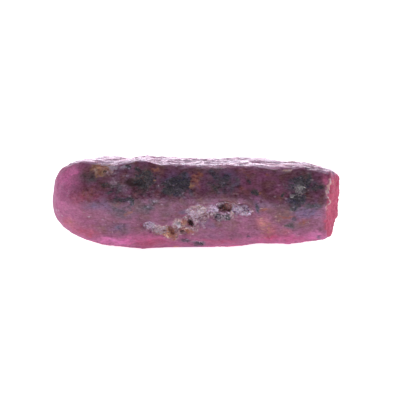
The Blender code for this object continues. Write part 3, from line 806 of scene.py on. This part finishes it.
# %% The palette
PALETTE = {  # linear colours
    "pink": (0.46, 0.090, 0.25, 1.0),
    "light pink": (0.54, 0.16, 0.35, 1.0),
    "magenta": (0.82, 0.21, 0.53, 1.0),
    "salmon": (0.70, 0.20, 0.24, 1.0),
    "blue violet": (0.20, 0.11, 0.28, 1.0),
    "mauve": (0.24, 0.11, 0.19, 1.0),
    "umber": (0.13, 0.07, 0.06, 1.0),
    "plum": (0.235, 0.078, 0.145, 1.0),
    "slate plum": (0.15, 0.082, 0.16, 1.0),
    "brown plum": (0.25, 0.085, 0.10, 1.0),
    "rose red": (0.50, 0.025, 0.10, 1.0),
    "fresh rose glow": (0.49, 0.042, 0.12, 1.0),
    "lilac": (0.72, 0.40, 0.68, 1.0),
    "grey lilac": (0.47, 0.31, 0.46, 1.0),
    "grey peach": (0.56, 0.35, 0.32, 1.0),
    "slate blue": (0.070, 0.062, 0.125, 1.0),
    "grey green": (0.085, 0.080, 0.088, 1.0),
    "olive brown": (0.13, 0.085, 0.05, 1.0),
    "red brown": (0.34, 0.08, 0.07, 1.0),
    "rust": (0.50, 0.20, 0.13, 1.0),
    "ochre": (0.54, 0.29, 0.16, 1.0),
    "gold": (0.74, 0.40, 0.17, 1.0),
    "frost": (0.78, 0.64, 0.82, 1.0),
    "peach": (0.85, 0.52, 0.38, 1.0),
    "pale grey": (0.45, 0.45, 0.42, 1.0),
    "mica sheen": (0.20, 0.17, 0.21, 1.0),
    "glint": (0.95, 0.88, 0.93, 1.0),
    "shadow": (0.04, 0.016, 0.014, 1.0),
    "black slate": (0.018, 0.016, 0.03, 1.0),
    "dark maroon": (0.055, 0.014, 0.02, 1.0),
}


def painted(tree, name):
    return node(tree, "Attribute", attribute_name=name).outputs["Fac"]


def tones_along(tree, tone, *names):
    """A colour that runs through named ones as the tone goes from 0 to 1."""
    ramp = node(tree, "ValToRGB", {0: tone})
    for step in range(1, len(names) - 1):
        ramp.color_ramp.elements.new(step / (len(names) - 1))
    for element, name in zip(ramp.color_ramp.elements, names):
        element.color = PALETTE[name]
    return ramp.outputs[0]


def jitter(tree, value, random, reach, middle=0.5):
    """A number that is shifted up and down as another one lies above or below its middle."""
    return plus(tree, value, times(tree, minus(tree, random, middle), reach))


def soft_layer(tree, colour, tint, mask, strength, uneven, least):
    """Lay a tint over a colour, through a mask that an uneven noise thins out."""
    thinned = times(tree, mask, plus(tree, uneven, least), clamp=True)
    return blend(tree, times(tree, thinned, strength), colour, tint)


def grained_layer(tree, colour, tint, amount, mask, wash, strength):
    """Lay a tint over a colour twice: a thin wash where it is painted, and more where its torn mask is."""
    washed = blend(tree, times(tree, amount, wash), colour, tint)
    return blend(tree, times(tree, mask, strength), washed, tint)


def mottled(tree, where, **numbers):
    """Soft noise on the piece."""
    return use(tree, mottle, vector=where, **numbers).outputs[0]


print("colours in the palette:", len(PALETTE))

# %% The light and dark of the grains, and painted glints
def brightness(tree, where, mica, broken_glint_mask, small):
    """How much lighter or darker each grain is than the colour around it: partly painted sparkle, and painted
    glints in the broken hollow.
    """
    along = node(tree, "Mapping", {"Vector": where, "Scale": (0.6, 1.0, 1.0)}).outputs[0]
    fine = mottled(tree, along, grain=0.16, contrast=2.6, detail=1.0)
    middling = mottled(tree, along, grain=0.5, contrast=3.0, detail=2.0)
    cells = use(tree, crystal_grain, vector=along, grain=0.2).outputs["Value"]
    all_three = plus(tree, plus(tree, fine, cells), middling)
    reach = plus(tree, times(tree, painted(tree, "cloud_and_shade"), 0.3), 0.25)
    reach = plus(tree, reach, times(tree, mica, 0.3))
    sound = plus(tree, times(tree, minus(tree, all_three, 1.5), reach), 1.0)

    # In the broken hollow the light cells are painted glints.
    chip_glints = use(tree, crystal_grain, vector=where, grain=0.17).outputs["Value"]
    clusters = plus(tree, times(tree, small, 0.7), 0.35)
    level = plus(tree, times(tree, chip_glints, clusters), times(tree, painted(tree, "pale"), 0.38), clamp=True)
    broken = plus(tree, times(tree, math_node(tree, "POWER", level, 1.8), 2.3), 0.74)
    return node(tree, "Mix", {0: broken_glint_mask, 2: sound, 3: broken}, data_type="FLOAT").outputs[0]


def lighten(tree, colour, level):
    """Multiply a colour, its green most and its red least, so that light grains are paler, too."""
    reaches = (0.75, 1.25, 1.0)
    rgb = {channel: jitter(tree, 1.0, level, reach, middle=1.0) for channel, reach in enumerate(reaches)}
    return blend(tree, 1.0, colour, node(tree, "CombineColor", rgb).outputs[0], "MULTIPLY")


def torn(tree, amount, where, grain, fray):
    """A painted amount as a mask with a torn edge."""
    return use(tree, frayed_mask, amount=amount, vector=where, grain=grain, fray=fray).outputs[0]


# %% The stone's colour
def stone_colour(tree, where):
    """The painted masks laid over each other: the colour, and the masks that roughness uses."""
    swirl = mottled(tree, where, grain=2.2, contrast=2.2)
    small = mottled(tree, where, grain=0.7, contrast=2.0, detail=2.0)
    drift = mottled(tree, where, grain=1.3, contrast=2.6, detail=2.0)
    colour = blend(tree, swirl, PALETTE["pink"], PALETTE["light pink"])

    # Painted glow: magenta and salmon where light comes through the thin edges and the foot.
    glow_tint = tones_along(tree, painted(tree, "glow_tone"), "magenta", "rose red", "salmon")
    colour = soft_layer(tree, colour, glow_tint, painted(tree, "glow"), 1.0, small, 0.5)
    cloud_and_shade_tint = tones_along(tree, drift, "slate plum", "plum", "brown plum")
    colour = soft_layer(tree, colour, cloud_and_shade_tint, painted(tree, "cloud_and_shade"), 1.0, drift, 0.45)
    haze_tint = tones_along(tree, painted(tree, "haze_tone"), "blue violet", "mauve", "umber")
    colour = soft_layer(tree, colour, haze_tint, painted(tree, "haze"), 1.0, small, 0.5)
    # The parting face's rose: partly its own colour, partly a painted glow of light through the end.
    colour = blend(tree, times(tree, painted(tree, "parting"), 0.85), colour, PALETTE["fresh rose glow"])
    # Painted sheen: a lilac wash on the top face stands in for the bright sky that it mirrors.
    colour = soft_layer(tree, colour, PALETTE["lilac"], painted(tree, "top"), 0.6, small, 0.4)

    mica_tone = jitter(tree, painted(tree, "mica_tone"), drift, 0.35)
    mica_tint = tones_along(tree, mica_tone, "slate blue", "grey green", "olive brown")
    mica = torn(tree, painted(tree, "mica"), where, grain=0.6, fray=1.2)
    colour = grained_layer(tree, colour, mica_tint, painted(tree, "mica"), mica, 0.5, 0.7)

    chip_tint = tones_along(tree, painted(tree, "pale_tone"), "grey lilac", "grey peach")
    bare = minus(tree, 1.0, times(tree, painted(tree, "mica"), 0.8))
    broken = torn(tree, painted(tree, "hollow"), where, grain=0.45, fray=1.3)
    colour = soft_layer(tree, colour, chip_tint, times(tree, broken, bare), 0.85, small, 0.5)

    rust_tone = jitter(tree, painted(tree, "rust_tone"), small, 0.3)
    rust_tint = tones_along(tree, rust_tone, "red brown", "rust", "ochre", "gold")
    rust = torn(tree, painted(tree, "rust"), where, grain=0.4, fray=1.2)
    colour = grained_layer(tree, colour, rust_tint, painted(tree, "rust"), rust, 0.5, 0.75)

    # Painted glints and sparkle: each grain lighter or darker.
    colour = lighten(tree, colour, brightness(tree, where, mica, broken, small))

    # Pale bruises, and painted highlights.
    pale_tint = tones_along(tree, painted(tree, "pale_tone"), "frost", "peach")
    sound = minus(tree, 1.0, times(tree, broken, 0.8))
    pale_amount = times(tree, painted(tree, "pale"), sound)
    pale = torn(tree, pale_amount, where, grain=0.25, fray=0.9)
    colour = grained_layer(tree, colour, pale_tint, pale_amount, pale, 0.25, 0.7)
    # Pale specks, partly painted glints.
    speck_tint = tones_along(tree, painted(tree, "specks_tone"), "frost", "peach")
    speck = use(tree, specks, amount=painted(tree, "specks"), vector=where, grain=0.28).outputs[0]
    colour = blend(tree, times(tree, speck, 0.4), colour, speck_tint)

    # Dark pits and cracks: their own dark colour, and painted shade in the pits.
    dark_tint = tones_along(tree, painted(tree, "dark_tone"), "black slate", "dark maroon", "shadow")
    dark = torn(tree, painted(tree, "dark"), where, grain=0.4, fray=0.6)
    colour = blend(tree, times(tree, dark, 0.9), colour, dark_tint)
    return colour, mica, rust


# %% The stone's material
THROUGH = {"parting": 0.09, "glow": 0.07, "top": 0.02}  # how much light comes through, by mask


def new_material(name):
    """A material, with its node tree and its shader."""
    material = bpy.data.materials.new(name)
    material.use_nodes = True
    tree = material.node_tree
    return material, tree, tree.nodes["Principled BSDF"]


def place_on_piece(tree):
    return node(tree, "TexCoord").outputs["Object"]


def add_bump(tree, shader, height, strength, distance):
    bump = node(tree, "Bump", {"Height": height, "Strength": strength, "Distance": distance * MM})
    tree.links.new(bump.outputs[0], shader.inputs["Normal"])


def make_stone():
    material, tree, shader = new_material("pink_sapphire")
    where = place_on_piece(tree)
    colour, mica, rust = stone_colour(tree, where)
    tree.links.new(colour, shader.inputs["Base Color"])
    thin = 0.0
    for name, strength in THROUGH.items():
        thin = plus(tree, thin, times(tree, painted(tree, name), strength))
    through = node(tree, "CombineColor", {0: thin, 1: thin, 2: thin}).outputs[0]
    tree.links.new(blend(tree, 1.0, colour, through, "MULTIPLY"), shader.inputs["Emission Color"])
    shader.inputs["Emission Strength"].default_value = 1.0

    worn = mottled(tree, where, grain=0.7, contrast=2.0)
    roughness = plus(tree, times(tree, worn, 0.25), 0.25)
    clear = minus(tree, 1.0, painted(tree, "cloud_and_shade"))
    more_rough = (
        (mica, 0.1), (rust, 0.25), (clear, 0.2), (painted(tree, "parting"), 0.2),
        (painted(tree, "hollow"), -0.15), (painted(tree, "top"), -0.2),
    )
    for mask, more in more_rough:
        roughness = plus(tree, roughness, times(tree, mask, more), clamp=True)
    tree.links.new(roughness, shader.inputs["Roughness"])

    grainy = mottled(tree, where, grain=0.25, contrast=1.6, detail=4.0)
    cells = use(tree, crystal_grain, vector=where, grain=0.22).outputs["Height"]
    add_bump(tree, shader, plus(tree, grainy, times(tree, cells, 0.5)), strength=0.8, distance=0.06)

    shader.inputs["IOR"].default_value = 1.76
    shader.inputs["Subsurface Weight"].default_value = 0.35
    shader.inputs["Subsurface Radius"].default_value = (1.0, 0.3, 0.5)
    shader.inputs["Subsurface Scale"].default_value = 0.8 * MM
    material.cycles.emission_sampling = "NONE"
    return material


mesh.materials.append(make_stone())
print("nodes in the stone:", len(mesh.materials[0].node_tree.nodes))

# %% [markdown]
# ## Mica flakes and loose grains
# Some of the mica lies open on the surface, as thin six-sided flakes, and the broken hollow holds splinters
# of pale corundum and crumbs of rust. They are too small and too many for the solid. Each kind is one
# joined mesh: a flake is a very low cone with six sides, a grain is a twenty-sided ball with its corners
# pushed about. They are drawn where their mask is strong, sunk partly into the stone, and lean with the
# surface.

# %% Scatter pieces over a mask
GRAIN_CORNERS = 0.35  # how far a grain's corners are pushed about


def lean_on(index, tilt):
    """A turn that stands a piece on the surface at a point of the net, spun and tilted at random."""
    up = Vector(skin_facing[index])
    turn = up.to_track_quat("Z", "Y").to_matrix().to_4x4()
    spin = Matrix.Rotation(rng.uniform(0, 2 * math.pi), 4, "Z")
    return turn @ Matrix.Rotation(rng.uniform(-tilt, tilt), 4, "X") @ spin


def add_piece(name, bm):
    """Turn a bmesh in millimetres into a piece of the crystal."""
    bmesh.ops.scale(bm, verts=bm.verts, vec=(MM,) * 3)
    made = bpy.data.meshes.new(name)
    bm.to_mesh(made)
    bm.free()
    piece = add_object(name, made)
    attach(piece, "root")
    return piece


def scatter(name, weights, count, sizes, add_one):
    """Join many small pieces in one mesh, drawn where the weights are high."""
    bm = bmesh.new()
    for index in rng.choice(len(weights), count, replace=False, p=weights / weights.sum()):
        add_one(bm, index, rng.uniform(*sizes))
    bmesh.ops.recalc_face_normals(bm, faces=bm.faces)
    piece = add_piece(name, bm)
    print(name, "has", count, "pieces and", len(piece.data.polygons), "faces")
    return piece


def add_flake(bm, index, size):
    """A thin hexagon of mica."""
    place = Matrix.Translation(Vector(skin[index]) + Vector(skin_facing[index]) * 0.01)
    thin = Matrix.Diagonal((size, size * rng.uniform(0.5, 1.0), 1.0, 1.0))
    bmesh.ops.create_cone(bm, cap_ends=True, segments=6, radius1=1.0, radius2=0.85, depth=0.05,
                          matrix=place @ lean_on(index, 0.45) @ thin)


def add_grain(bm, index, size):
    """A rough grain, sunk to its middle."""
    shape = Matrix.Diagonal((size, size * rng.uniform(0.5, 1.0), size * rng.uniform(0.4, 0.9), 1.0))
    place = Matrix.Translation(Vector(skin[index]))
    lay = place @ lean_on(index, 0.8) @ shape
    made = bmesh.ops.create_icosphere(bm, subdivisions=1, radius=1.0, matrix=lay)
    for vert in made["verts"]:
        vert.co += Vector(rng.uniform(-1, 1, 3)) * size * GRAIN_CORNERS


# %% Flakes, splinters and crumbs
FLAKES = 900
SPLINTERS = 520
CRUMBS = 80

off_floor = ease(skin[:, 2], 0.2, 0.4)
loose = ease(amounts["mica"], 0.45, 0.9) * (0.3 + front) * off_floor
mica_flakes = scatter("mica_flakes", loose, FLAKES, (0.05, 0.15), add_flake)
bruised = hollow * ease(amounts["pale"], 0.3, 0.9) + 0.15 * front * ease(amounts["pale"], 0.6, 0.9)
splinters = scatter("pale_splinters", bruised, SPLINTERS, (0.03, 0.10), add_grain)
rusty = ease(amounts["rust"], 0.5, 0.9) * (0.15 + hollow) * off_floor
crumbs = scatter("rust_crumbs", rusty, CRUMBS, (0.03, 0.08), add_grain)

# %% Colour the grains


def colour_grains(piece, name, tints, grain, roughness):
    """A material for small pieces. Its grain is about as large as one of them, so their tones differ."""
    material, tree, shader = new_material(name)
    where = place_on_piece(tree)
    tone = mottled(tree, where, grain=grain, contrast=3.0)
    tree.links.new(tones_along(tree, tone, *tints), shader.inputs["Base Color"])
    cells = use(tree, crystal_grain, vector=where, grain=0.1)
    uneven = plus(tree, times(tree, cells.outputs["Value"], 0.3), roughness)
    tree.links.new(uneven, shader.inputs["Roughness"])
    add_bump(tree, shader, cells.outputs["Height"], strength=0.3, distance=0.02)
    piece.data.materials.append(material)


colour_grains(mica_flakes, "mica", ("slate blue", "grey green", "mica sheen"), grain=0.5, roughness=0.25)
# The splinters' near-white tones are partly painted glints.
colour_grains(splinters, "pale_corundum_glints", ("grey peach", "frost", "glint"), grain=0.4, roughness=0.2)
colour_grains(crumbs, "rust", ("red brown", "rust", "rust"), grain=0.4, roughness=0.5)
print("materials:", ", ".join(material.name for material in bpy.data.materials))

# %% [markdown]
# ## The pale bead
# One rounded grain of feldspar sits in the lower end of the hollow. It is big enough to have a shape of its
# own: a ball of many small faces, pushed about by soft noise and sunk partly into the stone.

# %% The bead
BEAD_PLACE = (-1.6, 3.0)
BEAD_SIZE = (0.26, 0.24, 0.34)  # half sizes, mm
BEAD_OUT = 0.1  # mm that its middle stands out of the surface

bm = bmesh.new()
middle = Vector(settle(*BEAD_PLACE)) - Vector((0.0, BEAD_OUT, 0.0))
bmesh.ops.create_icosphere(bm, subdivisions=4, radius=1.0)
for vert in bm.verts:
    vert.co *= 1 + 0.12 * noise.noise(vert.co * 1.7)
bmesh.ops.scale(bm, verts=bm.verts, vec=BEAD_SIZE)
bmesh.ops.translate(bm, verts=bm.verts, vec=middle)
bead = add_piece("feldspar_bead", bm)
bead.data.shade_smooth()
colour_grains(bead, "feldspar", ("pale grey", "frost", "glint"), grain=0.25, roughness=0.3)
print("the bead has", len(bead.data.polygons), "faces")

# %% [markdown]
# ## The books of mica
# The pale flakes at the right are large enough to show their leaves. Mica grows in stacks of thin sheets,
# which are called books. These stand on their edges in the stone, so that the leaves show as pale lines. A
# leaf is a cube made long and thin, with its corners pushed about, and a book is a row of leaves that is
# turned on the surface.

# %% The books
BOOKS = (  # place along the crystal, height, half length of the leaves, number of leaves, turn in degrees
    (11.8, 6.9, 0.5, 7, -28.0),
    (11.1, 6.35, 0.3, 3, -10.0),
)
LEAF = 0.085  # mm, the thickness of a leaf
GAP = 0.135  # mm from leaf to leaf
LEAF_DEPTH = 0.3  # mm, half of it out of the stone


def add_leaf(bm, half_length, lay):
    """One leaf that stands on its edge."""
    size = Matrix.Diagonal((2 * half_length, LEAF, LEAF_DEPTH, 1.0))
    made = bmesh.ops.create_cube(bm, size=1.0, matrix=size)
    for vert in made["verts"]:
        vert.co += Vector((rng.uniform(-0.07, 0.07), rng.uniform(-0.02, 0.02), rng.uniform(-0.04, 0.04)))
    bmesh.ops.transform(bm, matrix=lay, verts=made["verts"])


bm = bmesh.new()
for along, up, half_length, leaves, turn in BOOKS:
    spot = int(np.argmin(((places - settle(along, up)) ** 2).sum(axis=1)))
    out = Vector(skin_facing[spot])
    level = Vector((1.0, 0.0, 0.0)) - out * out.x
    level.normalize()
    frame_here = Matrix((level, out.cross(level), out)).transposed().to_4x4()
    book = Matrix.Translation(Vector(skin[spot])) @ frame_here @ Matrix.Rotation(math.radians(turn), 4, "Z")
    for leaf in range(leaves):
        across = (leaf - (leaves - 1) / 2) * GAP
        place = Matrix.Translation((rng.uniform(-0.12, 0.12), across, 0.0))
        add_leaf(bm, half_length * rng.uniform(0.65, 1.1), book @ place)
bmesh.ops.recalc_face_normals(bm, faces=bm.faces)
books = add_piece("mica_books", bm)
colour_grains(books, "pale_mica", ("grey lilac", "pale grey", "glint"), grain=0.2, roughness=0.3)
print("the books have", sum(row[3] for row in BOOKS), "leaves and", len(books.data.polygons), "faces")

# %% [markdown]
# ## The floor
# The crystal lies on a plain pale floor. To the camera it should be white, with only a breath of shadow, so
# the floor glows a little, and more for the camera than for the light that goes from it to the crystal.

# %% Floor
FLOOR_REACH = 4.0  # metres from its middle
FLOOR_GLOW = 0.57
MORE_FOR_CAMERA = 0.33

bm = bmesh.new()
bmesh.ops.create_grid(bm, x_segments=1, y_segments=1, size=FLOOR_REACH)
floor_mesh = bpy.data.meshes.new("floor")
bm.to_mesh(floor_mesh)
bm.free()
floor = add_object("floor", floor_mesh)
pale_floor, tree, shader = new_material("pale_floor")
shader.inputs["Base Color"].default_value = (0.8, 0.8, 0.8, 1.0)
shader.inputs["Roughness"].default_value = 0.9
shader.inputs["Specular IOR Level"].default_value = 0.0
shader.inputs["Emission Color"].default_value = (1.0, 1.0, 1.0, 1.0)
seen = node(tree, "LightPath").outputs["Is Camera Ray"]
tree.links.new(plus(tree, times(tree, seen, MORE_FOR_CAMERA), FLOOR_GLOW), shader.inputs["Emission Strength"])
floor_mesh.materials.append(pale_floor)
print("the floor is", 2 * FLOOR_REACH, "m wide")

# %% [markdown]
# ## The light
# A studio tent gives light from all around, and what it doesn't give shapes the crystal. A dark card in
# front and above keeps the steep upper faces deep in colour. The sky low down behind the crystal is bright
# and lilac, and the rough top face mirrors it towards the camera. All of that is one sky whose strength
# depends on the direction, and a soft lamp behind adds the sparkle. The camera itself sees a plain white
# sky.

# %% The sky
SEEN_STRENGTH = 1.2  # of the white sky that the camera sees
DARK_CARD = (0.0, -0.64, 0.77)  # the direction of the dark card
NEAR_WHITE = (1.0, 0.94, 1.0, 1.0)
LILAC_WHITE = (1.0, 0.84, 1.0, 1.0)

world = bpy.data.worlds.new("studio")
bpy.context.scene.world = world
world.use_nodes = True
tree = world.node_tree
tree.nodes.clear()
where = node(tree, "TexCoord").outputs["Generated"]
split = node(tree, "SeparateXYZ", {0: where})
along_view, up = split.outputs["Y"], split.outputs["Z"]
# The sky is dimmer in front of the crystal than behind it.
base_light = soft_step(tree, along_view, -0.8, 0.7, 0.54, 1.1)
# The dark card, and a dimmer sky right above.
toward_card = node(tree, "VectorMath", {0: where, 1: DARK_CARD}, operation="DOT_PRODUCT").outputs["Value"]
card = soft_step(tree, toward_card, 0.35, 0.9, 1.0, 0.17)
overhead = soft_step(tree, up, 0.5, 0.95, 1.0, 0.5)
shade = times(tree, card, overhead)
# The low sky behind is brighter, and lilac.
boost = soft_step(tree, up, 0.65, 0.35, 1.0, 3.2)
behind = soft_step(tree, along_view, 0.7, 0.95)
extra = plus(tree, times(tree, minus(tree, boost, 1.0), behind), 1.0)
light = times(tree, times(tree, base_light, shade), extra)
sky_colour = blend(tree, behind, NEAR_WHITE, LILAC_WHITE)
# Light comes from this sky, and the camera sees a white one.
light_sky = node(tree, "Background", {"Strength": light, "Color": sky_colour}).outputs[0]
seen_sky = node(tree, "Background", {"Color": (1.0, 1.0, 1.0, 1.0), "Strength": SEEN_STRENGTH}).outputs[0]
seen = node(tree, "LightPath").outputs["Is Camera Ray"]
both = node(tree, "MixShader", {0: seen, 1: light_sky, 2: seen_sky}).outputs[0]
node(tree, "OutputWorld", {"Surface": both})
print("nodes in the sky:", len(tree.nodes))

# %% The lamp
LAMP_PLACE = Vector((-0.03, 0.22, 0.10))  # metres
LAMP_SIZE = 0.16
LAMP_POWER = 0.07  # watts

lamp = bpy.data.lights.new("behind", "AREA")
lamp.size = LAMP_SIZE
lamp.energy = LAMP_POWER
lamp_object = add_object("behind", lamp)
lamp_object.location = LAMP_PLACE
lamp_object.rotation_euler = (TARGET - LAMP_PLACE).to_track_quat("-Z", "Y").to_euler()
bpy.context.scene.view_settings.view_transform = "Standard"  # no film curve, so that white stays white
print("the lamp stands", round(LAMP_PLACE.length / MM), "mm from the crystal")
